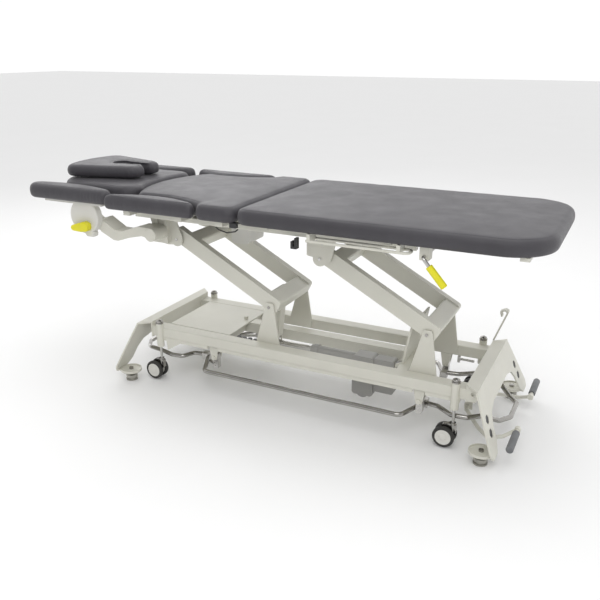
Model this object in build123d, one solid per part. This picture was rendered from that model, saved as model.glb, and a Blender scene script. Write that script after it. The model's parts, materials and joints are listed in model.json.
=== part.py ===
from build123d import *
import os
from math import atan2, degrees, hypot, radians, sin, tan

# Height adjustable treatment couch. Millimetres, +Z up, foot end towards +X, floor at z = 0.

# ---- driving dimensions ------------------------------------------------------------------
COUCH_X, HALF_W = 1056.0, 348.0          # half length and half width over the cushions
PAD_Z0, PAD_Z1 = 755.0, 823.0            # underside and top of the cushions
HEAD_LIFT = 8.0                          # the head cushions stand this much higher
BASE_CX = 130.0                          # the base is symmetric about this X
RAIL_IN, RAIL_OUT, RAIL_Z0, RAIL_Z1 = 154.0, 212.0, 192.0, 236.0
RAIL_X0, RAIL_X1 = -540.0, 800.0
POST_X, POST_Y, SLEEVE_R, STEM_R = (-503.0, 763.0), 212.5, 15.0, 5.5
WHEEL_R, WHEEL_Z, WHEEL_HALF_W, TRAIL = 40.0, 43.0, 27.0, 27.0
GABLE_SLOPE = 0.41                       # run per unit drop of the end frames
PIVOT_Z, FOOT_PX, HEAD_PX = 386.0, 631.0, -9.0
ARM_DX, ARM_DZ = -420.0, 228.0           # lower to upper pivot of a lift arm
ARM_Y0, ARM_Y1, ARM_BELOW, ARM_ABOVE = 116.0, 146.0, 15.0, 47.0
PIN_R, FIT, CLEAR = 10.0, 0.06, 0.4
FRAME_Y0, FRAME_Y1, FRAME_Z0, FRAME_Z1 = 217.0, 242.0, 714.0, 736.0
BAR_R, BAR_Z = 9.0, 114.0                # perimeter foot control bar
BRACKET_X = (-245.0, 630.0)              # guide clevises of that bar
ACT_Y, ACT_Z, ROD_X = -60.0, 200.0, -30.0
PEDAL_X, PEDAL_Z = 785.0, 106.0
SWING_X, SWING_Z, LEVEL_X, LEVEL_Z = -480.0, 650.0, -790.0, 700.0
CRANK_X, CRANK_Z = 651.0, 722.0
FOOT_HINGE_X, FOOT_HINGE_Z, EAR_Y0 = 8.0, 775.0, 205.0

ARM_L = hypot(ARM_DX, ARM_DZ)
ARM_TILT = degrees(atan2(ARM_DZ, -ARM_DX))
os.makedirs("parts", exist_ok=True)


# ---- helpers -----------------------------------------------------------------------------
def save(name, *shapes):
    solids = [s for shape in shapes for s in shape.solids()]
    export_step(solids[0] if len(solids) == 1 else Compound(children=solids), f"parts/{name}.step")


def both(shape):
    """A shape and its mirror image on the far side."""
    return [shape, mirror(shape, about=Plane.XZ)]


def block(x0, x1, y0, y1, z0, z1, r=0.0, along=Axis.X):
    body = Pos((x0 + x1) / 2, (y0 + y1) / 2, (z0 + z1) / 2) * Box(x1 - x0, y1 - y0, z1 - z0)
    return fillet(body.edges().filter_by(along), r) if r else body


def rod_x(y, z, r, x0, x1):
    return Pos((x0 + x1) / 2, y, z) * Rot(0, 90, 0) * Cylinder(r, x1 - x0)


def rod_y(x, z, r, y0, y1):
    return Pos(x, (y0 + y1) / 2, z) * Rot(90, 0, 0) * Cylinder(r, y1 - y0)


def rod_z(x, y, r, z0, z1):
    return Pos(x, y, (z0 + z1) / 2) * Cylinder(r, z1 - z0)


def flat(points, r=0.0):
    """Closed polygon, its corners rounded by r."""
    face = make_face(Polyline(*points, close=True))
    return fillet(face.vertices(), r) if r else face


def side(face, y0, y1):
    """Extrude a face drawn in (x, z) from y0 to y1."""
    return extrude(Plane.XZ.offset(-y1) * face, amount=y1 - y0)


def bent(points, bend):
    """Straight runs joined by tangent arcs of radius bend."""
    pts = [Vector(*p) for p in points]
    edges, start = [], pts[0]
    for a, b, c in zip(pts, pts[1:], pts[2:]):
        u, v = (a - b).normalized(), (c - b).normalized()
        half = radians(u.get_angle(v)) / 2
        reach, middle = bend / tan(half), b + (u + v).normalized() * (bend / sin(half) - bend)
        edges += [Line(start, b + u * reach), ThreePointArc(b + u * reach, middle, b + v * reach)]
        start = b + v * reach
    return Wire(edges + [Line(start, pts[-1])])


def rod(points, bend, r):
    path = bent(points, bend)
    return sweep(Plane(origin=path @ 0, z_dir=path % 0) * Circle(r), path=path)


def flip(points):
    """The same path on the far side."""
    return [(x, -y, z) for x, y, z in points]


def pad(face, z0, z1, top, bottom):
    """Cushion: an outline raised from z0 to z1 with rounded upper and lower edges."""
    body = extrude(Pos(0, 0, z0) * face, amount=z1 - z0)
    body = fillet(body.faces().sort_by(Axis.Z)[-1].edges(), top)
    return fillet(body.faces().sort_by(Axis.Z)[0].edges(), bottom)


def about_base(shape):
    return mirror(shape, about=Plane.YZ.offset(BASE_CX))


# ---- base frame --------------------------------------------------------------------------
def base_rail():
    """Long tube on the near side with its lower lip and corner gusset."""
    body = block(RAIL_X0, RAIL_X1, -RAIL_OUT, -RAIL_IN, RAIL_Z0, RAIL_Z1, 5)
    body += block(RAIL_X0 + 20, RAIL_X1 - 20, -209, -200, 178, RAIL_Z0 + 1)
    body += side(flat([(-476, RAIL_Z0 + 1), (-402, RAIL_Z0 + 1), (-402, 180), (-469, 137)]), -211, -205)
    for x in POST_X:
        body -= rod_z(x, -POST_Y, SLEEVE_R, 100, 300)
    for x in BRACKET_X:
        body -= block(x - 24, x + 24, -RAIL_OUT, -198, 170, RAIL_Z0)
    return body


def gable_plane():
    rise = 1 / hypot(1, GABLE_SLOPE)
    return Plane(origin=(846, 0, 256), x_dir=(0, 1, 0), z_dir=(rise, 0, GABLE_SLOPE * rise))


def gable(at_foot):
    """End frame: top flange, sloping arched plate, foot discs; the foot end has slots and tabs too."""
    drop = hypot(1, GABLE_SLOPE)
    edge = [(258, 254), (290, 168), (326, 66), (313, 42), (256, 42), (220, 74), (206, 123),
            (178, 155), (120, 168)]
    outline = edge + [(-y, z) for y, z in reversed(edge)]
    face = flat([(y, (z - 256) * drop) for y, z in outline], 8)
    for y, z in ((248, 157), (-248, 157), (255, 112), (-255, 112)) if at_foot else ():
        lens = flat([(-18, 0), (-9, 15), (9, 15), (18, 0), (9, -15), (-9, -15)], 3)
        face -= Pos(y, (z - 256) * drop) * lens
    body = extrude(gable_plane() * face, amount=-6)
    body += extrude(Pos(0, 0, 250) * flat([(RAIL_X1, -215), (848, -258), (848, 258), (RAIL_X1, 215)]), 6)
    body += block(RAIL_X1, RAIL_X1 + 6, -215, 215, 188, 252)
    tab = side(flat([(802, 254), (802, 192), (834, 192), (848, 212), (848, 254)], 5), 211, 216)
    extras = both(tab - rod_y(824, 222, 7, 200, 230)) + both(pedal_hanger()) if at_foot else []
    for part in both(foot_disc()) + extras:
        body += part
    return body if at_foot else about_base(body)


def foot_disc():
    disc = rod_z(881, 276, 44, 41, 47) + rod_z(881, 276, 44, 46, 51) - rod_z(881, 276, 40, 47, 60)
    return disc + block(900, 932, 256, 306, 41, 47)


def pedal_hanger():
    plate = side(flat([(802, 240), (802, 96), (772, 96), (772, 118), (796, 150), (796, 240)], 3), 84, 90)
    return plate - rod_y(PEDAL_X, PEDAL_Z, 6.06, 70, 100)


def levelling_foot():
    knob = rod_z(881, 276, 25, 0, 6) + rod_z(881, 276, 21, 5, 14) + rod_z(881, 276, 24, 13, 24)
    return knob + rod_z(881, 276, 8, 23, 41)


def towers():
    """Four plates that carry the lower pins of the lift arms."""
    plate = side(flat([(574, 200), (676, 200), (676, 236), (653, 390), (648, 404), (622, 404), (617, 396),
                       (574, 236)], 3), ARM_Y1 + 2, RAIL_IN)
    foot = both(plate)
    return foot + [Pos(HEAD_PX - FOOT_PX, 0, 0) * p for p in foot]


def centre_frame():
    """Centre beam, the cross beams between the rails and the two sloping cross plates."""
    body = block(-220, 560, 8, 58, 190, 229) + block(-190, 560, 8, 58, 228, 234)
    body += block(526, 566, -RAIL_IN, RAIL_IN, 194, 234) + block(-262, -214, -147, 147, 194, 229)
    slant = [(528, 232), (536, 232), (567, 396), (559, 396)]
    body += side(flat(slant), -108, 108)
    head = [(x + HEAD_PX - FOOT_PX, z) for x, z in slant]
    body += side(flat(head), -25, 108)
    for y0, y1 in ((-82, -76), (-44, -38)):
        lug = side(flat([(496, 184), (496, 214), (528, 232), (540, 232), (540, 184)], 3), y0, y1)
        body += lug - rod_y(508, ACT_Z, 6 + FIT, -100, 0)
    return body


def tray():
    body = block(-489, -194, -152, 152, 230, 236)
    for y0, y1 in ((-152, -148), (148, 152)):
        body += block(-489, -194, y0, y1, 204, 231)
    body += block(-489, -485, -152, 152, 204, 231)
    return body + rod_z(-226, 37, 9, 235, 248)


def control_unit():
    body = block(-184, -72, -148, -88, 150, 206, 6)
    for x in (-176, -150, -124, -98):
        body += rod_z(x + 6, -118, 9, 205, 222)
    return body + block(-186, -70, -146, -140, 200, 226)


def actuator_body():
    """Lift drive: outer tube with collar, gear head, motor housing and rear eye."""
    tube = rod_x(ACT_Y, ACT_Z, 20, 138, 440) + rod_x(ACT_Y, ACT_Z, 24, 150, 170)
    tube += block(326, 412, -92, -28, 60, 224, 12, Axis.Y) + rod_y(369, 78, 28, -90, -30)
    tube += block(410, 494, -86, -34, 84, 222, 10, Axis.Y)
    tube += rod_y(508, ACT_Z, 15, -74, -46) + block(490, 508, -74, -46, 186, 214)
    tube -= rod_x(ACT_Y, ACT_Z, 12.4, 100, 432)
    return tube - rod_y(508, ACT_Z, 6 + FIT, -100, 0)


def castor_sleeves():
    sleeves = []
    for x in POST_X:
        tube = rod_z(x, -POST_Y, SLEEVE_R, 151, 254) - rod_z(x, -POST_Y, STEM_R + FIT, 150, 244)
        sleeves += both(tube)
    return sleeves


def base_fasteners():
    """Domed post nuts, arm pins with heads and the clevis pin of the drive."""
    nut = rod_z(0, 0, 16, 254, 259) + rod_z(0, 0, 13, 258, 266) + Pos(0, 0, 265) * Sphere(13, 0)
    parts = [p for x in POST_X for p in both(Pos(x, -POST_Y, 0) * nut)]
    for x in (HEAD_PX, FOOT_PX):
        parts += both(rod_y(x, PIVOT_Z, PIN_R, -ARM_Y1 - 2, -117))
        parts += both(rod_y(x, PIVOT_Z, 6, -RAIL_IN - 3, -RAIL_IN))
    parts += both(rod_z(881, 276, 9, 47, 54)) + both(rod_z(2 * BASE_CX - 881, 276, 9, 47, 54))
    return parts + [rod_y(508, ACT_Z, 6, -90, -30)]


def bar_bracket(x):
    """Clevis under the near rail that guides one corner of the foot control bar."""
    cheek = flat([(x - 22, RAIL_Z0), (x + 22, RAIL_Z0), (x + 11, 132), (x - 11, 132)], 4)
    body = side(cheek, -200, -195) + side(cheek, -166, -161) + rod_y(x, 142, 5, -206, -155)
    return body + rod_y(x, 142, 9, -206, -200)


def hook_strip():
    """Bent strip on the foot frame that holds the hand control."""
    strip = [(804, 256), (848, 378), (846, 386), (834, 390), (816, 382), (816, 374), (821, 359), (826, 361),
             (821, 376), (834, 384), (841, 378), (797, 256)]
    return side(flat(strip), 218, 244)


# ---- castors and their pedal linkage -----------------------------------------------------
def castor_stems():
    parts = []
    for x in POST_X:
        parts += both(rod_z(x, -POST_Y, STEM_R, 62, 226))
    return parts


def castor_fork(x, y):
    """Swivel housing between the twin wheels, with the axle."""
    ax = x - TRAIL
    hood = [(x + 13, 90), (x + 13, 56), (ax + 8, 30), (ax - 14, 30), (ax - 22, 62), (ax - 8, 86), (x - 12, 94)]
    body = side(flat(hood, 5), y - 9, y + 9) + rod_z(x, y, 10.5, 54, 98)
    body += rod_y(ax, WHEEL_Z, 5, y - WHEEL_HALF_W + 2, y + WHEEL_HALF_W - 2)
    return body - rod_z(x, y, STEM_R + FIT, 61, 110)


def castor_wheel(x, y):
    discs = []
    for y0 in (y - WHEEL_HALF_W, y + WHEEL_HALF_W - 16):
        disc = rod_y(x - TRAIL, WHEEL_Z, WHEEL_R, y0, y0 + 16)
        disc = fillet(disc.edges().filter_by(GeomType.CIRCLE), 5)
        discs.append(disc - rod_y(x - TRAIL, WHEEL_Z, 5 + FIT, y0 - 1, y0 + 17))
    return discs


def pedal_levers():
    """Cross shaft and the two cranked pedal arms."""
    body = rod_y(PEDAL_X, PEDAL_Z, 6, -118, 118)
    run = [(PEDAL_X, -112, PEDAL_Z), (838, -145, 62), (880, -178, 50), (930, -165, 58), (975, -139, 83)]
    for path in (run, flip(run)):
        body += rod(path, 14, 7)
    for y in (-139, 139):
        body += rod_y(975, 83, 11, y - 9, y + 9)
    for part in both(rod_y(975, 83, 7, 139, 284)):
        body += part
    return body


def pedal_grips():
    grip = fillet(rod_y(975, 83, 13, 165, 290).edges().filter_by(GeomType.CIRCLE), 3)
    return both(grip - rod_y(975, 83, 7, 160, 284.5))


def lift_rod():
    return [rod_x(196, 160, 5, 682, 738), block(672, 682, 186, 206, 148, 174)]


# ---- foot control bar --------------------------------------------------------------------
NEAR_BAR = [(-322, -122, 108), (-262, -252, 100), (578, -252, 100), (628, -142, 108)]
HEAD_BAR = [(-330, -132, BAR_Z), (-383, -140, BAR_Z), (-408, -192, BAR_Z), (-458, -198, BAR_Z),
            (-520, -180, BAR_Z), (-591, -168, BAR_Z), (-650, -104, 84), (-678, -60, 84)]
FOOT_BAR = [(640, -142, BAR_Z), (690, -150, BAR_Z), (748, -192, BAR_Z), (805, -188, BAR_Z),
            (850, -152, BAR_Z), (904, -104, 84), (936, -60, 84)]


def loop(points, bend):
    return rod(points + list(reversed(flip(points))), bend, BAR_R)


def bar_clamps():
    """Corner blocks that tie the four bars together and hang in the guide clevises."""
    parts = []
    bars = [rod(NEAR_BAR, 30, BAR_R), loop(HEAD_BAR, 20), loop(FOOT_BAR, 20)]
    for lug, end in ((-245, -327), (630, 634)):
        body = block(lug - 12, lug + 12, -193, -168, 92, 156, 4, Axis.Y)
        body += rod([(lug, -180, 100), ((lug + end) / 2, -158, 100), (end, -132, 100)], 20, 7)
        body += block(end - 13, end + 13, -148, -116, 94, 126, 5, Axis.X)
        body -= block(lug - 5.4, lug + 5.4, -210, -150, 126.6, 147.4)
        for bar in bars:
            body -= bar
        parts += both(body.solids().sort_by(SortBy.VOLUME)[-1])
    return parts


# ---- lift arms and drive -----------------------------------------------------------------
def arm_frame_to_world(px, shape):
    """Arm coordinates (along, across, below) to the resting arm pivoting at px."""
    return Pos(px, 0, PIVOT_Z) * Rot(0, 180 + ARM_TILT, 0) * shape


def lift_arm(upper_bore):
    low, high = -ARM_ABOVE, ARM_BELOW
    body = None
    for y0 in (-ARM_Y1, ARM_Y0):
        member = block(-34, ARM_L + 26, y0, y0 + ARM_Y1 - ARM_Y0, low, high, 14, Axis.Y)
        body = member if body is None else body + member
    for s0, s1 in ((-34, 34), (ARM_L - 80, ARM_L - 22)):
        body += block(s0, s1, -ARM_Y0 - 2, ARM_Y0 + 2, low + 5, high - 4, 8, Axis.Y)
    for y0, y1 in ((-ARM_Y1 - 1, -ARM_Y0 + 3), (ARM_Y0 - 3, ARM_Y1 + 1)):
        body -= rod_y(0, 0, PIN_R + FIT, y0, y1)
        body -= rod_y(ARM_L, 0, upper_bore, y0, y1)
    return body


def head_lever(arm):
    """Slotted fork under the head arm that the drive rod pushes."""
    cheeks = block(-19, 19, -80, -40, -234, -14, 4, Axis.Y) - block(-40, 40, -74, -46, -300, -152)
    slot = block(-13, 13, -90, -30, -230, -166)
    return (Pos(HEAD_PX, 0, PIVOT_Z) * Rot(0, 6, 0) * (cheeks - slot)) - arm


def actuator_rod():
    body = rod_x(ACT_Y, ACT_Z, 12, ROD_X, 292)
    body += rod_y(ROD_X, ACT_Z, 17, -72, -48)
    return body + rod_y(ROD_X, ACT_Z, PIN_R, -84, -36)


# ---- upper frame -------------------------------------------------------------------------
def frame_rails():
    """Side rails, each with the ear that holds the hinge shaft of the foot section."""
    rail = block(-560, 600, -FRAME_Y1, -FRAME_Y0, FRAME_Z0, FRAME_Z1, 4)
    ear = block(FOOT_HINGE_X - 13, FOOT_HINGE_X + 13, -FRAME_Y0 - 1, -EAR_Y0, FRAME_Z0 + 4, FOOT_HINGE_Z + 13)
    ear = fillet(ear.edges().filter_by(Axis.Y).group_by(Axis.Z)[-1], 12)
    return both(rail + ear - rod_y(FOOT_HINGE_X, FOOT_HINGE_Z, PIN_R + FIT, -FRAME_Y0, -100))


def frame_crosses():
    """Cross bars: raised ones carry the chest cushions, low ones pass under the foot section."""
    body = block(-300, -130, -55, 55, FRAME_Z0, FRAME_Z0 + 6)
    for x in (-540, -300, -120):
        body += block(x - 15, x + 15, -FRAME_Y0, FRAME_Y0, FRAME_Z0, FRAME_Z1)
        body += block(x - 15, x + 15, -320, 320, FRAME_Z1, PAD_Z0)
    low = [block(x - 15, x + 15, -FRAME_Y0, FRAME_Y0, FRAME_Z0, FRAME_Z1) for x in (230, 420, 560)]
    return [body] + low


def lift_brackets():
    """Plates under the frame that hold the upper pins, and the boxes for the arm supports."""
    top = FRAME_Z0
    hx, hz = HEAD_PX + ARM_DX, PIVOT_Z + ARM_DZ
    fx = FOOT_PX + ARM_DX
    head = side(flat([(-562, top), (-540, 650), (-530, 597), (-470, 589), (hx + 26, 596), (hx + 26, 630),
                      (hx + 6, 684), (-392, top)], 4), -158, -152)
    head += rod_y(hx, hz, 28, -158, -152)
    head += block(-530, -457, -180, -156, 600, top)
    head -= block(-503, -470, -182, -174, 676, 706)
    foot = side(flat([(158, top), (158, 623), (190, 618), (190, 600), (240, 596), (255, 608), (273, 676),
                      (273, top)], 4), -158, -152)
    foot += rod_y(fx, hz, 28, -158, -152)
    return both(head) + both(foot)


def frame_bolts():
    """Upper arm pins, support pins and bracket bolt heads."""
    parts = []
    for x in (HEAD_PX + ARM_DX, FOOT_PX + ARM_DX):
        parts += both(rod_y(x, PIVOT_Z + ARM_DZ, PIN_R, -152, -117))
        parts += both(rod_y(x, PIVOT_Z + ARM_DZ, 6, -161, -158))
    parts += both(rod_y(SWING_X, SWING_Z, PIN_R, -257, -180))
    for x, z in ((223, 676), (200, 690), (255, 700)):
        parts += both(rod_y(x, z, 6, -163, -158))
    return parts


def mech_cover():
    body = block(-227, -145, -60, 60, 602, FRAME_Z0)
    return fillet(body.edges().filter_by(Axis.Y).group_by(Axis.Z)[0], 16)


def arc_outline(corners, arcs):
    """Face from straight corners, with some sides replaced by arcs through a middle point."""
    edges = []
    for i, a in enumerate(corners):
        b = corners[(i + 1) % len(corners)]
        edges.append(ThreePointArc(a, arcs[i], b) if i in arcs else Line(a, b))
    return make_face(edges)


def chest_pad():
    half = [(-48.5, 345), (-203, 345), (-219, 306), (-528, 262)]
    corners = half + [(x, -y) for x, y in reversed(half)]
    arcs = {2: (-425, 250), 3: (-612, 0), 4: (-425, -250)}
    face = arc_outline(corners, arcs)
    face = fillet([v for v in face.vertices() if v.X > -60], 40)
    face = fillet([v for v in face.vertices() if -230 < v.X < -190], 20)
    face = fillet([v for v in face.vertices() if v.X < -500], 18)
    return pad(face, PAD_Z0, PAD_Z1, 18, 8)


def side_pad():
    corners = [(-226, 346), (-634, 346), (-634, 318), (-226, 311)]
    face = arc_outline(corners, {2: (-425, 256)})
    return pad(fillet(face.vertices(), 12), PAD_Z0, PAD_Z1, 10, 6)


def black_trim():
    """Frame clip, hinge end covers and the release cable loop."""
    clip = [(143, 700), (143, 672), (168, 672), (168, 713), (158, 713), (158, 681), (152, 681), (152, 700)]
    body = side(flat(clip, 2), -262, -FRAME_Y1)
    covers = both(block(-76, -49, 300, 318, 737, PAD_Z0))
    cable = rod([(-190, -232, 710), (-176, -232, 700), (-140, -232, 692), (-104, -232, 700), (-92, -232, 710)],
                8, 2.5)
    return [body, cable] + covers


# ---- foot section ------------------------------------------------------------------------
def foot_pad():
    face = flat([(-42, -HALF_W), (COUCH_X, -HALF_W), (COUCH_X, HALF_W), (-42, HALF_W)])
    face = fillet([v for v in face.vertices() if v.X > 0], 160)
    face = fillet([v for v in face.vertices() if v.X < 0], 45)
    body = pad(face, PAD_Z0, PAD_Z1, 30, 30) - foot_frame()
    pocket = rod_y(FOOT_HINGE_X, FOOT_HINGE_Z, 21, EAR_Y0 - 1, FRAME_Y0 + 2)
    pocket += block(FOOT_HINGE_X - 26, FOOT_HINGE_X + 26, EAR_Y0 - 1, FRAME_Y0 + 2, PAD_Z0 - 1, FOOT_HINGE_Z)
    for part in both(pocket):
        body -= part
    return body


def foot_frame():
    body = block(24, 980, -176, -150, 739, PAD_Z0) + block(24, 980, 150, 176, 739, PAD_Z0)
    for x in (60, 520, 960):
        body += block(x - 15, x + 15, -310, 310, 743, PAD_Z0)
    for part in both(block(FOOT_HINGE_X - 10, FOOT_HINGE_X + 22, -176, -150, 743, FOOT_HINGE_Z)):
        body += part
    return body + rod_y(FOOT_HINGE_X, FOOT_HINGE_Z, PIN_R, -FRAME_Y0 + 1, FRAME_Y0 - 1)


def loop_rail():
    """Release loop under the foot cushion with its hangers and the crank bearing."""
    loop_ = rod([(240, -290, 730), (605, -290, 730), (605, -337, 730), (240, -337, 730)], 18, 5)
    body = loop_
    for x in (250, 570):
        body += block(x - 6, x + 6, -340, -287, 726, PAD_Z0)
    bearing = block(634, 668, -316, -284, 708, PAD_Z0, 4, Axis.Y)
    return [body, bearing - rod_y(CRANK_X, CRANK_Z, 6 + FIT, -330, -270)]


def crank_rod():
    path = [(CRANK_X, -150, CRANK_Z), (CRANK_X, -334, CRANK_Z), (678, -334, 690), (722, -334, 640)]
    return rod(path, 10, 6)


def crank_grip():
    turn = degrees(atan2(722 - 678, 690 - 640))
    grip = fillet(Cylinder(12, 84).edges().filter_by(GeomType.CIRCLE), 3)
    grip -= Pos(0, 0, 41.4) * Cylinder(6, 150)
    return Pos(700, -334, 665) * Rot(0, -turn, 0) * grip


# ---- head section ------------------------------------------------------------------------
def head_pad():
    face = arc_outline([(-558, -222), (-558, 222), (-1008, 222), (-1008, -222)], {0: (-616, 0)})
    face = fillet([v for v in face.vertices() if v.X > -600], 60)
    face = fillet([v for v in face.vertices() if v.X < -1000], 130)
    return pad(face, PAD_Z0 + HEAD_LIFT, PAD_Z1 + HEAD_LIFT, 20, 8)


def head_plate():
    body = block(-980, -640, -165, 165, 752, PAD_Z0 + HEAD_LIFT, 30, Axis.Z)
    for part in both(rod_y(-625, 752, 7, 90, 120) + block(-660, -625, 90, 120, 746, 758)):
        body += part
    return body


def face_cushion():
    """Horseshoe face rest, open towards the couch."""
    outer = arc_outline([(-668, 88), (-870, 184), (-870, -184), (-668, -96)], {1: (-1008, 0)})
    outer = fillet([v for v in outer.vertices() if v.X > -700], 34)
    outer -= flat([(-600, -16), (-600, 16), (-810, 26), (-810, -26)]) + Pos(-812, 0) * Circle(36)
    body = extrude(Pos(0, 0, 831.5) * outer, amount=58.5)
    body = fillet(body.faces().sort_by(Axis.Z)[-1].edges(), 18)
    return body


# ---- arm supports ------------------------------------------------------------------------
def swing_arm():
    web = side(flat([(-735, 690), (-728, 688), (-661, 649), (-626, 648), (-542, 676), (-480, 677), (-470, 640),
                     (-481, 631), (-526, 640), (-585, 627), (-646, 607), (-670, 607), (-735, 638)], 3), -257, -182)
    web += rod_y(SWING_X, SWING_Z, 27, -262, -182)
    tongue = side(flat([(-720, 688), (-720, 640), (-752, 647), (-800, 680), (-800, 716), (-770, 722)], 6), -257, -234)
    tongue += rod_y(LEVEL_X, LEVEL_Z, 26, -257, -234)
    for x, z in ((-462, 662), (-466, 634), (-500, 664)):
        web += rod_y(x, z, 4, -264, -256)
    body = web + tongue - rod_y(SWING_X, SWING_Z, PIN_R + FIT, -257.5, -100)
    return body - rod_y(LEVEL_X, LEVEL_Z, PIN_R + FIT, -300, -200)


def housing():
    """Round joint housing under the arm cushion, with the pin the arm turns on."""
    z1 = PAD_Z0 + HEAD_LIFT
    body = rod_y(LEVEL_X, LEVEL_Z, 72, -288, -258)
    body += side(flat([(-800, 640), (-745, 640), (-750, 616), (-785, 616)], 8), -288, -258)
    body = fillet(body.edges().filter_by(GeomType.CIRCLE).group_by(Axis.Y)[0], 6)
    body += block(-980, -680, -300, -262, z1 - 10, z1)
    body -= block(-1100, -600, -320, -240, z1, z1 + 80)
    return body + rod_y(LEVEL_X, LEVEL_Z, PIN_R, -288, -236)


def housing_lever():
    face = flat([(-752, 678), (-776, 684), (-838, 664), (-846, 652), (-836, 642), (-790, 640), (-756, 648)], 7)
    knob = rod_y(-774, 662, 20, -314, -288.4)
    knob = fillet(knob.edges().filter_by(GeomType.CIRCLE).group_by(Axis.Y)[0], 5)
    return side(face, -311, -292) + knob


def arm_pad():
    corners = [(-640, -276), (-640, -325), (-COUCH_X, -329), (-COUCH_X, -253)]
    face = arc_outline(corners, {3: (-885, -228)})
    face = fillet([v for v in face.vertices() if v.X > -700], 18)
    face = fillet([v for v in face.vertices() if v.X < -1000], 32)
    return pad(face, PAD_Z0 + HEAD_LIFT, PAD_Z1 + HEAD_LIFT, 20, 8)


# ---- write every node --------------------------------------------------------------------
def write_base():
    near = base_rail()
    save("rail_near", near)
    save("rail_far", mirror(near, about=Plane.XZ))
    save("gable_foot", gable(True))
    save("gable_head", gable(False))
    save("towers", *towers())
    save("centre_frame", centre_frame())
    save("tray", tray())
    save("control_unit", control_unit())
    save("actuator_body", actuator_body())
    save("castor_sleeves", *castor_sleeves())
    save("base_fasteners", *base_fasteners())
    feet = both(levelling_foot())
    save("levelling_feet", *feet, *[about_base(f) for f in feet])
    save("bar_brackets", *[p for x in BRACKET_X for p in both(bar_bracket(x))])
    save("hook_strip", hook_strip())


def write_castors():
    save("castor_stems", *castor_stems())
    for end, x in zip(("head", "foot"), POST_X):
        for hand, y in (("near", -POST_Y), ("far", POST_Y)):
            save(f"castor_fork_{end}_{hand}", castor_fork(x, y))
            save(f"castor_wheel_{end}_{hand}", *castor_wheel(x, y))
    save("pedal_levers", pedal_levers())
    save("pedal_grips", *pedal_grips())
    save("lift_rod", *lift_rod())


def write_bars():
    near = rod(NEAR_BAR, 30, BAR_R)
    save("bar_near", near)
    save("bar_far", mirror(near, about=Plane.XZ))
    save("bar_head", loop(HEAD_BAR, 20))
    save("bar_foot", loop(FOOT_BAR, 20))
    save("bar_clamps", *bar_clamps())


def write_lift():
    save("arm_foot", arm_frame_to_world(FOOT_PX, lift_arm(PIN_R + FIT)))
    head = arm_frame_to_world(HEAD_PX, lift_arm(PIN_R + CLEAR))
    save("arm_head", head)
    save("head_lever", head_lever(head))
    save("actuator_rod", actuator_rod())


def write_upper():
    save("frame_rails", *frame_rails())
    save("frame_crosses", *frame_crosses())
    save("lift_brackets", *lift_brackets())
    save("frame_bolts", *frame_bolts())
    save("mech_cover", mech_cover())
    save("chest_pad", chest_pad())
    near, far = side_pad(), mirror(side_pad(), about=Plane.XZ)
    save("side_pad_far", near)
    save("side_pad_near", far)
    save("black_trim", *black_trim())


def write_sections():
    save("foot_pad", foot_pad())
    save("foot_frame", foot_frame())
    save("loop_rail", *loop_rail())
    save("crank_rod", crank_rod())
    save("crank_grip", crank_grip())
    save("head_pad", head_pad())
    save("head_plate", head_plate())
    save("face_cushion", face_cushion())


def write_supports():
    for name, make in (("swing_arm", swing_arm), ("housing", housing), ("housing_lever", housing_lever),
                       ("arm_pad", arm_pad)):
        shape = make()
        save(f"{name}_near", shape)
        save(f"{name}_far", mirror(shape, about=Plane.XZ))


write_base()
write_castors()
write_bars()
write_lift()
write_upper()
write_sections()
write_supports()
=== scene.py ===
import json
import math
import bmesh
import bpy
import numpy as np
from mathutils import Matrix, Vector
from mathutils.bvhtree import BVHTree


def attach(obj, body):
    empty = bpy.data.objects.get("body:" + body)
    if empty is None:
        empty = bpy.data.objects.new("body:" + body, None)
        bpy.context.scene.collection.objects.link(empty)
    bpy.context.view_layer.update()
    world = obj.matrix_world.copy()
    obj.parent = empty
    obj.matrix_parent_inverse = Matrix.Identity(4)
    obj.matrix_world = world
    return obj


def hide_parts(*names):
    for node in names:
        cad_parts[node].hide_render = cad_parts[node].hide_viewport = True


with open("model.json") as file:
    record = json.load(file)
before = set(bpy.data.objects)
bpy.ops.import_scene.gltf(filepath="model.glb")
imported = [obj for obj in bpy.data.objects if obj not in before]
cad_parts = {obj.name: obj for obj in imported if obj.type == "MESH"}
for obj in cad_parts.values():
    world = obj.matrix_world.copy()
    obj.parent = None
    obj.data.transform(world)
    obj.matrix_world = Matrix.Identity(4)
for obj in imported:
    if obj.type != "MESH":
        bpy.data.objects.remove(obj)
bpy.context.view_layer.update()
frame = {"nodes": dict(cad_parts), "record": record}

# ---- sizes in metres, from the same drawing as the frame ---------------------------------
PAD_Z0, PAD_Z1, HEAD_UP = 0.755, 0.823, 0.008
CAMERA_AT, CAMERA_AZ, CAMERA_DOWN, LENS = (1.254, -2.446, 1.356), 26.15, 19.74, 42.49


POSTS_X, POSTS_Y = (("head", -0.503), ("foot", 0.763)), (("near", -0.2125), ("far", 0.2125))
WHEEL_Z, WHEEL_TRAIL = 0.043, 0.027
GABLE_TOP, GABLE_SLOPE = (0.846, 0.256), 0.41      # x and z of its top edge, run per unit drop
GABLE_SLOTS = ((248, 157), (-248, 157), (255, 112), (-255, 112))      # y and z in mm


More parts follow.
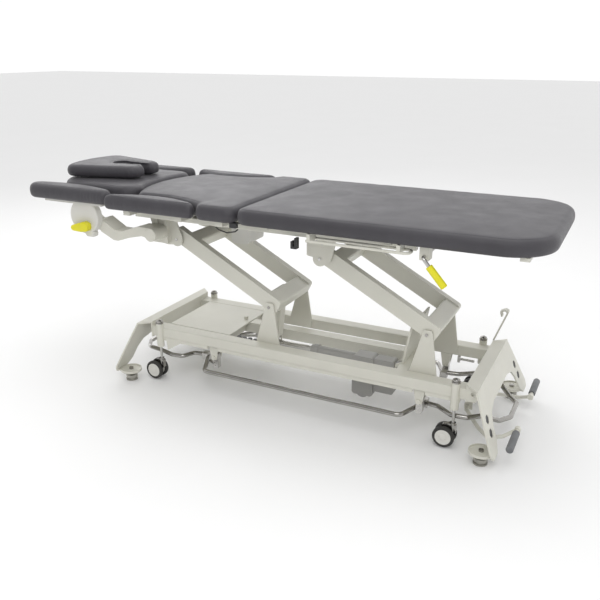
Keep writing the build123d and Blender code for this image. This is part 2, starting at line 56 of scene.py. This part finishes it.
# ---- shader helpers ----------------------------------------------------------------------
class Shader:
    """A Principled material built from named nodes."""

    def __init__(self, name, color, rough, metal=0.0, **more):
        self.mat = bpy.data.materials.new(name)
        self.mat.use_nodes = True
        self.nodes, self.links = self.mat.node_tree.nodes, self.mat.node_tree.links
        self.bsdf = self.nodes["Principled BSDF"]
        self.set("Base Color", (*color, 1.0))
        self.set("Roughness", rough)
        self.set("Metallic", metal)
        for key, value in more.items():
            self.set(key.replace("_", " "), value)
        self.coords = self.add("ShaderNodeTexCoord").outputs["Object"]

    def set(self, socket, value):
        self.bsdf.inputs[socket].default_value = value

    def add(self, kind, inputs=None, **props):
        node = self.nodes.new(kind)
        for key, value in props.items():
            setattr(node, key, value)
        for key, value in (inputs or {}).items():
            if isinstance(value, bpy.types.NodeSocket):
                self.links.new(value, node.inputs[key])
            else:
                node.inputs[key].default_value = value
        return node

    def noise(self, scale, detail=3.0, rough=0.5, stretch=None):
        vector = self.coords
        if stretch:
            vector = self.add("ShaderNodeMapping", {"Vector": vector, "Scale": stretch}).outputs[0]
        return self.add("ShaderNodeTexNoise", {"Vector": vector, "Scale": scale, "Detail": detail,
                                               "Roughness": rough}).outputs["Fac"]

    def cells(self, scale, feature="F1"):
        return self.add("ShaderNodeTexVoronoi", {"Vector": self.coords, "Scale": scale},
                        feature=feature).outputs["Distance"]

    def remap(self, value, low, high, a=0.0, b=1.0):
        return self.add("ShaderNodeMapRange", {"Value": value, "From Min": low, "From Max": high,
                                               "To Min": a, "To Max": b}).outputs[0]

    def mix(self, factor, a, b):
        node = self.add("ShaderNodeMix", data_type="RGBA")
        self.links.new(factor, node.inputs[0])
        for index, value in ((6, a), (7, b)):
            if isinstance(value, bpy.types.NodeSocket):
                self.links.new(value, node.inputs[index])
            else:
                node.inputs[index].default_value = (*value, 1.0)
        return node.outputs[2]

    def drive(self, socket, value):
        self.links.new(value, self.bsdf.inputs[socket])

    def bump(self, height, distance, strength=1.0, after=None):
        inputs = {"Height": height, "Distance": distance, "Strength": strength}
        if after is not None:
            inputs["Normal"] = after
        normal = self.add("ShaderNodeBump", inputs).outputs[0]
        self.links.new(normal, self.bsdf.inputs["Normal"])
        return normal


def powder_coat(name, color, rough=0.42):
    """Paint or moulded plastic: faint mottling, orange peel and a little grime in patches."""
    s = Shader(name, color, rough, Coat_Weight=0.08, Coat_Roughness=0.3)
    patches = s.remap(s.noise(7.0, 5.0), 0.35, 0.7)
    s.drive("Base Color", s.mix(patches, color, tuple(c * 0.955 for c in color)))
    s.drive("Roughness", s.remap(s.noise(24.0, 4.0), 0.3, 0.7, rough - 0.05, rough + 0.07))
    s.bump(s.noise(900.0, 2.0), 0.00010, 0.5)
    return s.mat


def leatherette():
    """Grained dark grey vinyl with a soft sheen and slightly rubbed patches."""
    dark, light = (0.047, 0.044, 0.051), (0.060, 0.057, 0.065)
    s = Shader("leatherette", dark, 0.5, Sheen_Weight=0.12, Sheen_Roughness=0.45, Specular_IOR_Level=0.45)
    rubbed = s.remap(s.noise(5.0, 6.0, 0.6), 0.35, 0.7)
    s.drive("Base Color", s.mix(rubbed, dark, light))
    s.drive("Roughness", s.remap(s.noise(14.0, 4.0), 0.3, 0.7, 0.44, 0.56))
    pores = s.cells(620.0, "DISTANCE_TO_EDGE")
    grain = s.bump(s.remap(pores, 0.0, 0.12), 0.00016, 0.55)
    folds = s.noise(34.0, 4.0, 0.55)
    s.bump(folds, 0.0009, 0.16, grain)
    return s.mat


def bright_metal(name, color, rough, stretch=(1.0, 1.0, 1.0), grain=240.0):
    """Chrome or zinc: drawn grain, small smears and changes of gloss."""
    s = Shader(name, color, rough, 1.0)
    smear = s.remap(s.noise(18.0, 5.0), 0.35, 0.7)
    s.drive("Base Color", s.mix(smear, color, tuple(c * 0.86 for c in color)))
    s.drive("Roughness", s.remap(s.noise(60.0, 3.0, 0.5, stretch), 0.3, 0.7, rough * 0.7, rough * 1.5))
    s.bump(s.noise(grain, 2.0, 0.5, stretch), 0.00004, 0.35)
    return s.mat


def rubber(name, color, rough=0.6, scale=420.0):
    s = Shader(name, color, rough, Specular_IOR_Level=0.35)
    dusty = s.remap(s.noise(16.0, 5.0), 0.4, 0.75)
    s.drive("Base Color", s.mix(dusty, color, tuple(min(1.0, c * 1.35 + 0.01) for c in color)))
    s.drive("Roughness", s.remap(s.noise(30.0, 3.0), 0.3, 0.7, rough - 0.08, rough + 0.1))
    s.bump(s.noise(scale, 3.0), 0.00025, 0.5)
    return s.mat


def thread():
    s = Shader("stitch thread", (0.10, 0.10, 0.11), 0.6)
    s.drive("Base Color", s.mix(s.noise(300.0, 2.0), (0.085, 0.085, 0.095), (0.14, 0.14, 0.15)))
    s.bump(s.noise(1400.0, 2.0), 0.0002, 0.6)
    return s.mat


CREAM, SHELL = (0.68, 0.67, 0.595), (0.72, 0.71, 0.665)
MATS = {
    "frame_paint": powder_coat("frame paint", CREAM, 0.40),
    "shell_plastic": powder_coat("shell plastic", SHELL, 0.46),
    "yellow_plastic": powder_coat("yellow plastic", (0.80, 0.74, 0.015), 0.36),
    "dark_plastic": powder_coat("dark plastic", (0.028, 0.028, 0.030), 0.45),
    "drive_plastic": powder_coat("drive plastic", (0.36, 0.355, 0.34), 0.5),
    "upholstery": leatherette(),
    "chrome_bar": bright_metal("chrome", (0.40, 0.39, 0.37), 0.11),
    "steel": bright_metal("zinc steel", (0.60, 0.59, 0.57), 0.30, (1.0, 1.0, 8.0)),
    "grip_rubber": rubber("grip rubber", (0.16, 0.165, 0.17)),
    "foot_metal": bright_metal("levelling foot", (0.46, 0.45, 0.41), 0.38),
    "tyre_tread": rubber("castor tyre", (0.035, 0.034, 0.032), 0.55),
}
THREAD = thread()


def repaint():
    """Every frame node takes the finish of its slot, and a small bevel that catches the light."""
    slots = {row["node"]: row["material_slot"] for row in frame["record"]["subparts"]}
    for name, node in frame["nodes"].items():
        for holder in node.material_slots:
            holder.material = MATS[slots[name]]
        bevel = node.modifiers.new("edge", "BEVEL")
        bevel.width, bevel.segments, bevel.limit_method = 0.0012, 2, "ANGLE"
        bevel.angle_limit, bevel.harden_normals = math.radians(38), False
        bevel.use_clamp_overlap = True


# ---- cushions ----------------------------------------------------------------------------
def arc(a, m, b, count):
    """Points from a to b on the circle through m, b left out."""
    (ax, ay), (mx, my), (bx, by) = a, m, b
    d = 2 * (ax * (my - by) + mx * (by - ay) + bx * (ay - my))
    aa, mm, bb = ax * ax + ay * ay, mx * mx + my * my, bx * bx + by * by
    ux = (aa * (my - by) + mm * (by - ay) + bb * (ay - my)) / d
    uy = (aa * (bx - mx) + mm * (ax - bx) + bb * (mx - ax)) / d
    r = math.hypot(ax - ux, ay - uy)
    t0, t1, t2 = (math.atan2(y - uy, x - ux) for x, y in (a, m, b))
    turn = (t2 - t0) % (2 * math.pi)
    if (t1 - t0) % (2 * math.pi) > turn:
        turn -= 2 * math.pi
    return [(ux + r * math.cos(t0 + turn * i / count), uy + r * math.sin(t0 + turn * i / count))
            for i in range(count)]


CORNER_PULL = 0.72      # how strongly a rounded corner is drawn towards its sharp point


def rounded(corners, arcs, radii, step=0.008):
    """Outline from corners, with arcs through middle points, every corner rounded by its radius."""
    n = len(corners)
    dense, marks = [], []
    for i, a in enumerate(corners):
        b = corners[(i + 1) % n]
        marks.append(len(dense))
        if i in arcs:
            dense += arc(a, arcs[i], b, max(8, int(math.dist(a, b) / step)))
        else:
            count = max(2, int(math.dist(a, b) / step))
            dense += [(a[0] + (b[0] - a[0]) * k / count, a[1] + (b[1] - a[1]) * k / count)
                      for k in range(count)]
    points = [Vector(p) for p in dense]
    total = len(points)
    for mark, radius in zip(marks, radii):
        if radius <= 0:
            continue
        here, before, after = points[mark], points[mark - 2], points[(mark + 2) % total]
        u, v = (before - here).normalized(), (after - here).normalized()
        half = u.angle(v) / 2
        reach = radius / math.tan(half)
        k0 = k1 = 0
        while (points[mark - k0] - here).length < reach and k0 < total // 3:
            k0 += 1
        while (points[(mark + k1) % total] - here).length < reach and k1 < total // 3:
            k1 += 1
        a, b = points[mark - k0], points[(mark + k1) % total]
        span = k0 + k1
        for j in range(1, span):
            t = j / span
            start, pull, end = (1 - t) ** 2, 2 * CORNER_PULL * t * (1 - t), t * t
            points[(mark - k0 + j) % total] = (a * start + here * pull + b * end) / (start + pull + end)
    return resample(points, step)


def resample(points, step):
    """Even spacing along a closed outline."""
    pts = np.array([(p.x, p.y) for p in points])
    gaps = np.linalg.norm(np.roll(pts, -1, axis=0) - pts, axis=1)
    along = np.concatenate([[0.0], np.cumsum(gaps)])
    count = int(along[-1] / step)
    closed = np.vstack([pts, pts[:1]])
    at = np.linspace(0.0, along[-1], count, endpoint=False)
    return np.stack([np.interp(at, along, closed[:, i]) for i in (0, 1)], axis=1)


def inward(loop_):
    """Unit normals that point into an outline."""
    tangent = np.roll(loop_, -1, axis=0) - np.roll(loop_, 1, axis=0)
    tangent /= np.linalg.norm(tangent, axis=1, keepdims=True)
    normal = np.stack([-tangent[:, 1], tangent[:, 0]], axis=1)
    area = np.sum(loop_[:, 0] * np.roll(loop_[:, 1], -1) - np.roll(loop_[:, 0], -1) * loop_[:, 1])
    return normal if area > 0 else -normal


# Section of a cushion edge from underside to top: (inset, height) in mm for a 68 mm cushion.
EDGE_PROFILE = ((26, 0.0), (12, 0.8), (4.5, 5), (0.8, 13), (-0.6, 26), (0.0, 36), (2.2, 46), (6.5, 53.5),
                (13, 57.6), (21, 59.4), (32, 60.4))


def lofted(name, rings):
    """Closed mesh through equal rings of points, capped at both ends."""
    count = len(rings[0])
    verts = [tuple(p) for ring in rings for p in ring]
    faces = []
    for k in range(len(rings) - 1):
        for i in range(count):
            j = (i + 1) % count
            faces.append((k * count + i, k * count + j, (k + 1) * count + j, (k + 1) * count + i))
    faces.append(tuple(reversed(range(count))))
    faces.append(tuple(range((len(rings) - 1) * count, len(rings) * count)))
    mesh = bpy.data.meshes.new(name)
    mesh.from_pydata(verts, [], faces)
    obj = bpy.data.objects.new(name, mesh)
    bpy.context.scene.collection.objects.link(obj)
    return obj


def apply_all(obj):
    """Applies an object's modifiers to its mesh."""
    depsgraph = bpy.context.evaluated_depsgraph_get()
    mesh = bpy.data.meshes.new_from_object(obj.evaluated_get(depsgraph))
    obj.modifiers.clear()
    obj.data = mesh


def coords_of(mesh):
    flat = np.empty(len(mesh.vertices) * 3)
    mesh.vertices.foreach_get("co", flat)
    return flat.reshape(-1, 3)


def nearest(points, loop_):
    """Distance from each point to an outline, and the index of the nearest outline point."""
    best = np.empty(len(points))
    index = np.empty(len(points), dtype=int)
    for s in range(0, len(points), 4000):
        d = np.linalg.norm(points[s:s + 4000, None, :] - loop_[None, :, :], axis=2)
        index[s:s + 4000] = d.argmin(axis=1)
        best[s:s + 4000] = d.min(axis=1)
    return best, index


def puckers(index, count, seed):
    """A row of small gathers along a seam, uneven in pitch and depth."""
    rng = np.random.default_rng(seed)
    waves = np.zeros(count)
    at = np.arange(count) / count * 2 * math.pi
    for _ in range(9):
        waves += rng.uniform(0.3, 1.0) * np.sin(rng.integers(9, 60) * at + rng.uniform(0, 6.28))
    return (waves / 4.0)[index]


def edge_rings(loop_, normal, z0, scale):
    """The outline repeated along the edge section, always turning the same way."""
    rings = []
    for inset, height in EDGE_PROFILE:
        p = loop_ + normal * (inset * 0.001)
        rings.append(np.column_stack([p, np.full(len(p), z0 + height * scale * 0.001)]))
    area = np.sum(loop_[:, 0] * np.roll(loop_[:, 1], -1) - np.roll(loop_[:, 0], -1) * loop_[:, 1])
    return [ring[::-1] for ring in rings] if area < 0 else rings


def even_out(obj):
    """Even faces all over, with the hard corners of the section softened."""
    remesh = obj.modifiers.new("even", "REMESH")
    remesh.mode, remesh.voxel_size = "VOXEL", 0.0055
    smooth = obj.modifiers.new("soften", "SMOOTH")
    smooth.factor, smooth.iterations = 0.5, 6
    apply_all(obj)


def stuff(obj, loop_, normal, z0, thick, crown, seed):
    """Crowns the top, gathers it along the seam and lets the sides belly out a little."""
    co = coords_of(obj.data)
    away, index = nearest(co[:, :2], loop_)
    rise = np.clip((co[:, 2] - z0) / (thick * 0.001), 0, 1)
    upper = np.clip((rise - 0.72) / 0.16, 0, 1)
    dome = 1 - np.exp(-(np.maximum(away - 0.012, 0) / 0.085) ** 1.5)
    co[:, 2] += upper * dome * (crown + 7.6 * thick / 68.0) * 0.001
    near_seam = np.exp(-((away - 0.018) / 0.016) ** 2) * upper
    gather = puckers(index, len(loop_), seed)
    co[:, 2] += near_seam * gather * 0.00055
    slack = np.sin(co[:, 0] * 23 + seed) * np.sin(co[:, 1] * 31 + 2 * seed) * 0.0006
    co[:, 2] += upper * dome * slack
    belly = np.exp(-((rise - 0.42) / 0.2) ** 2) * np.exp(-(away / 0.012) ** 2)
    co[:, :2] += -normal[index] * (belly * (0.0009 * gather + 0.0006))[:, None]
    obj.data.vertices.foreach_set("co", co.reshape(-1))


def cushion(name, loop_, z0, thick, crown, node, body, seed):
    """Stuffed cushion: crowned top, rolled edge, seam with gathers, stitching along the seam."""
    normal = inward(loop_)
    obj = lofted(name, edge_rings(loop_, normal, z0, thick / 68.0))
    even_out(obj)
    stuff(obj, loop_, normal, z0, thick, crown, seed)
    fine = obj.modifiers.new("fine", "SUBSURF")
    fine.levels = fine.render_levels = 1
    obj.data.materials.append(MATS["upholstery"])
    obj.data.polygons.foreach_set("use_smooth", [True] * len(obj.data.polygons))
    apply_all(obj)
    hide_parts(node)
    seam = seam_line(obj, loop_, normal, z0, thick)
    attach(obj, body)
    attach(seam, body)


def seam_line(obj, loop_, normal, z0, thick):
    """A narrow sewn lip round the top edge with a row of stitches inside it."""
    tree = surface_tree(obj)
    lip = on_surface(tree, loop_ + normal * 0.0165, z0 + thick * 0.001 + 0.02)
    row = on_surface(tree, loop_ + normal * 0.0215, z0 + thick * 0.001 + 0.02)
    bm = bmesh.new()
    tube(bm, lip, 0.0010, -0.0004)
    stitches(bm, row, 0.0055, 0.0034, 0.00042)
    mesh = bpy.data.meshes.new(obj.name + "_seam")
    bm.to_mesh(mesh)
    seam = bpy.data.objects.new(mesh.name, mesh)
    bpy.context.scene.collection.objects.link(seam)
    mesh.materials.append(MATS["upholstery"])
    mesh.materials.append(THREAD)
    return seam


def surface_tree(obj):
    return BVHTree.FromPolygons([tuple(v.co) for v in obj.data.vertices],
                                [tuple(p.vertices) for p in obj.data.polygons])


def on_surface(tree, points, height):
    out = []
    for x, y in points:
        hit = tree.ray_cast(Vector((x, y, height)), Vector((0, 0, -1)))[0]
        out.append(hit if hit else Vector((x, y, height - 0.03)))
    return out


def tube(bm, path, radius, lift, sides=8):
    """Closed thin tube along a loop of points."""
    rings, n = [], len(path)
    for i, p in enumerate(path):
        t = (path[(i + 1) % n] - path[i - 1]).normalized()
        u = t.cross(Vector((0, 0, 1))).normalized()
        v = u.cross(t)
        rings.append([bm.verts.new(p + Vector((0, 0, lift)) + (u * math.cos(a) + v * math.sin(a)) * radius)
                      for a in (2 * math.pi * k / sides for k in range(sides))])
    for i in range(n):
        a, b = rings[i], rings[(i + 1) % n]
        for k in range(sides):
            face = bm.faces.new((a[k], b[k], b[(k + 1) % sides], a[(k + 1) % sides]))
            face.smooth = True


def stitches(bm, path, pitch, length, radius):
    """Short threads laid end to end along a loop."""
    ends = path + path[:1]
    gaps = [(b - a).length for a, b in zip(ends, ends[1:])]
    along = np.concatenate([[0.0], np.cumsum(gaps)])
    xyz = np.array([tuple(p) for p in ends])
    for start in np.arange(0.0, along[-1] - pitch, pitch):
        a, b = (Vector([np.interp(s, along, xyz[:, i]) for i in range(3)]) for s in (start, start + length))
        t = (b - a).normalized()
        u = t.cross(Vector((0, 0, 1))).normalized() * radius
        w = Vector((0, 0, radius))
        lo = [bm.verts.new(p) for p in (a - u, a + u, b + u, b - u)]
        hi = [bm.verts.new(p + w) for p in (a - u * 0.5 + t * radius, a + u * 0.5 + t * radius,
                                            b + u * 0.5 - t * radius, b - u * 0.5 - t * radius)]
        for quad in ((hi[0], hi[1], hi[2], hi[3]), *((lo[k], lo[(k + 1) % 4], hi[(k + 1) % 4], hi[k])
                                                     for k in range(4))):
            bm.faces.new(quad).material_index = 1


def mirrored(loop_):
    return np.column_stack([loop_[:, 0], -loop_[:, 1]])[::-1]


def make_cushions():
    top = PAD_Z0 + HEAD_UP
    foot = rounded([(-0.042, -0.348), (1.044, -0.348), (1.044, 0.348), (-0.042, 0.348)], {},
                   (0.045, 0.16, 0.16, 0.045))
    cushion("foot_cushion", foot, PAD_Z0, 68, 0.0, "foot_pad", "foot_section", 3)
    half = [(-0.0485, 0.345), (-0.203, 0.345), (-0.219, 0.306), (-0.528, 0.262)]
    corners = half + [(x, -y) for x, y in reversed(half)]
    arcs = {2: (-0.425, 0.25), 3: (-0.612, 0.0), 4: (-0.425, -0.25)}
    chest = rounded(corners, arcs, (0.04, 0.02, 0.02, 0.02, 0.02, 0.02, 0.02, 0.04))
    cushion("chest_cushion", chest, PAD_Z0, 68, 0.0, "chest_pad", "upper_frame", 5)
    side = rounded([(-0.226, 0.346), (-0.634, 0.346), (-0.634, 0.318), (-0.226, 0.311)], {2: (-0.425, 0.256)},
                   (0.014,) * 4)
    arm = rounded([(-0.64, -0.276), (-0.64, -0.325), (-1.056, -0.329), (-1.056, -0.253)],
                  {3: (-0.885, -0.228)}, (0.018, 0.022, 0.04, 0.03))
    cushion("side_cushion_far", side, PAD_Z0, 68, -2.0, "side_pad_far", "upper_frame", 7)
    cushion("side_cushion_near", mirrored(side), PAD_Z0, 68, -2.0, "side_pad_near", "upper_frame", 8)
    cushion("arm_cushion_near", arm, top, 68, -2.0, "arm_pad_near", "carrier_near", 9)
    cushion("arm_cushion_far", mirrored(arm), top, 68, -2.0, "arm_pad_far", "carrier_far", 10)
    head = rounded([(-0.558, -0.222), (-0.558, 0.222), (-1.008, 0.222), (-1.008, -0.222)], {0: (-0.616, 0.0)},
                   (0.06, 0.06, 0.13, 0.13))
    cushion("head_cushion", head, top, 68, 0.0, "head_pad", "head_section", 11)
    face = rounded([(-0.668, 0.088), (-0.97, 0.172), (-0.97, -0.178), (-0.668, -0.098), (-0.668, -0.0192),
                    (-0.786, -0.025), (-0.786, 0.025), (-0.668, 0.0192)],
                   {1: (-1.014, 0.0), 5: (-0.848, 0.0)},
                   (0.034, 0.045, 0.045, 0.034, 0.014, 0.008, 0.008, 0.014), step=0.005)
    cushion("face_cushion", face, 0.8315, 57, -3.0, "face_cushion", "face_rest", 13)


# ---- small pieces that ride the castor wheels --------------------------------------------
def turned(name, at, side, profile, sides=40):
    """A lathe form about the Y direction; profile is (radius, distance outward) in mm."""
    rings = []
    for radius, out in profile:
        y = at[1] + side * out * 0.001
        turn = [2 * math.pi * k / sides * -side for k in range(sides)]
        rings.append([(at[0] + radius * 0.001 * math.cos(a), y, at[2] + radius * 0.001 * math.sin(a))
                      for a in turn])
    return lofted(name, rings)


def hub_caps():
    """Light hub discs in the castor wheels, dished, with a raised centre."""
    outer = ((29, 25), (29, 27.4), (27.5, 28.0), (24, 27.2), (12, 27.0), (10.5, 28.4), (7, 29.2), (2, 29.3))
    inner = ((29, 13), (29, 10.8), (24, 10.5), (12, 10.6))
    for end, x in POSTS_X:
        for hand, y in POSTS_Y:
            centre = (x - WHEEL_TRAIL, y, WHEEL_Z)
            for mark, side in (("a", -1), ("b", 1)):
                for kind, profile in (("outer", outer), ("inner", inner)):
                    cap = turned(f"hub_{kind}_{end}_{hand}_{mark}", centre, side, profile)
                    cap.data.materials.append(MATS["shell_plastic"])
                    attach(cap, f"wheel_{end}_{hand}")


def slot_shade_sheets():
    """Painted shade: dark sheets just under the foot end plate's sloping face, for the shadow inside its four
    slots.
    """
    drop = math.hypot(1, GABLE_SLOPE)
    up, out = Vector((-GABLE_SLOPE, 0, 1)) / drop, Vector((1, 0, GABLE_SLOPE)) / drop
    lens = ((-17, 0), (-8.5, 14), (8.5, 14), (17, 0), (8.5, -14), (-8.5, -14))
    for i, (y, z) in enumerate(GABLE_SLOTS):
        centre = Vector((GABLE_TOP[0], y * 0.001, GABLE_TOP[1])) + up * (z * 0.001 - GABLE_TOP[1]) * drop
        rings = [[centre + Vector((0, u * 0.001, 0)) + up * v * 0.001 + out * depth for u, v in lens]
                 for depth in (-0.0050, -0.0018)]
        shade_sheet = lofted(f"gable_plug_{i}", rings)
        # painted shade: a dark sheet for the shadow inside the slot
        shade_sheet.data.materials.append(MATS["dark_plastic"])
        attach(shade_sheet, "base")


# ---- stage -------------------------------------------------------------------------------
def area_light(name, at, target, size, power):
    data = bpy.data.lights.new(name, "AREA")
    data.shape, data.size, data.size_y, data.energy = "RECTANGLE", size[0], size[1], power
    obj = bpy.data.objects.new(name, data)
    obj.location = at
    obj.rotation_euler = (Vector(target) - Vector(at)).to_track_quat("-Z", "Y").to_euler()
    bpy.context.scene.collection.objects.link(obj)


def floor():
    mesh = bpy.data.meshes.new("floor")
    mesh.from_pydata([(-30, -30, 0), (30, -30, 0), (30, 30, 0), (-30, 30, 0)], [], [(0, 1, 2, 3)])
    obj = bpy.data.objects.new("floor", mesh)
    bpy.context.scene.collection.objects.link(obj)
    s = Shader("floor", (0.90, 0.90, 0.90), 0.75)
    s.drive("Base Color", s.mix(s.noise(1.5, 3.0), (0.89, 0.89, 0.89), (0.91, 0.91, 0.91)))
    mesh.materials.append(s.mat)


def studio_world():
    """White all round, darker on the near side so that metal and cushion walls have something to show."""
    world = bpy.data.worlds.new("studio")
    world.use_nodes = True
    nodes, links = world.node_tree.nodes, world.node_tree.links
    coords, parts, ramp = (nodes.new(kind) for kind in ("ShaderNodeTexCoord", "ShaderNodeSeparateXYZ",
                                                        "ShaderNodeMapRange"))
    for key, value in (("From Min", -0.75), ("From Max", -0.05), ("To Min", 0.45), ("To Max", 1.02)):
        ramp.inputs[key].default_value = value
    links.new(coords.outputs["Generated"], parts.inputs[0])
    links.new(parts.outputs["Y"], ramp.inputs["Value"])
    nodes["Background"].inputs["Color"].default_value = (1.0, 1.0, 1.0, 1.0)
    links.new(ramp.outputs[0], nodes["Background"].inputs["Strength"])
    return world


def stage():
    scene = bpy.context.scene
    floor()
    scene.world = studio_world()
    area_light("key", (1.2, -3.0, 3.4), (0, 0, 0.5), (2.6, 2.0), 46)
    area_light("rim", (-2.4, 2.6, 2.8), (0, 0, 0.7), (2.6, 1.6), 26)
    area_light("top", (0.2, 0.2, 3.6), (0, 0, 0), (3.4, 2.2), 24)
    data = bpy.data.cameras.new("camera")
    data.lens, data.sensor_width, data.sensor_fit = LENS, 36.0, "HORIZONTAL"
    camera = bpy.data.objects.new("camera", data)
    camera.location = CAMERA_AT
    camera.rotation_euler = (math.radians(90 - CAMERA_DOWN), 0.0, math.radians(CAMERA_AZ))
    scene.collection.objects.link(camera)
    scene.camera = camera
    scene.view_settings.view_transform = "Standard"


repaint()
make_cushions()
hub_caps()
slot_shade_sheets()
stage()
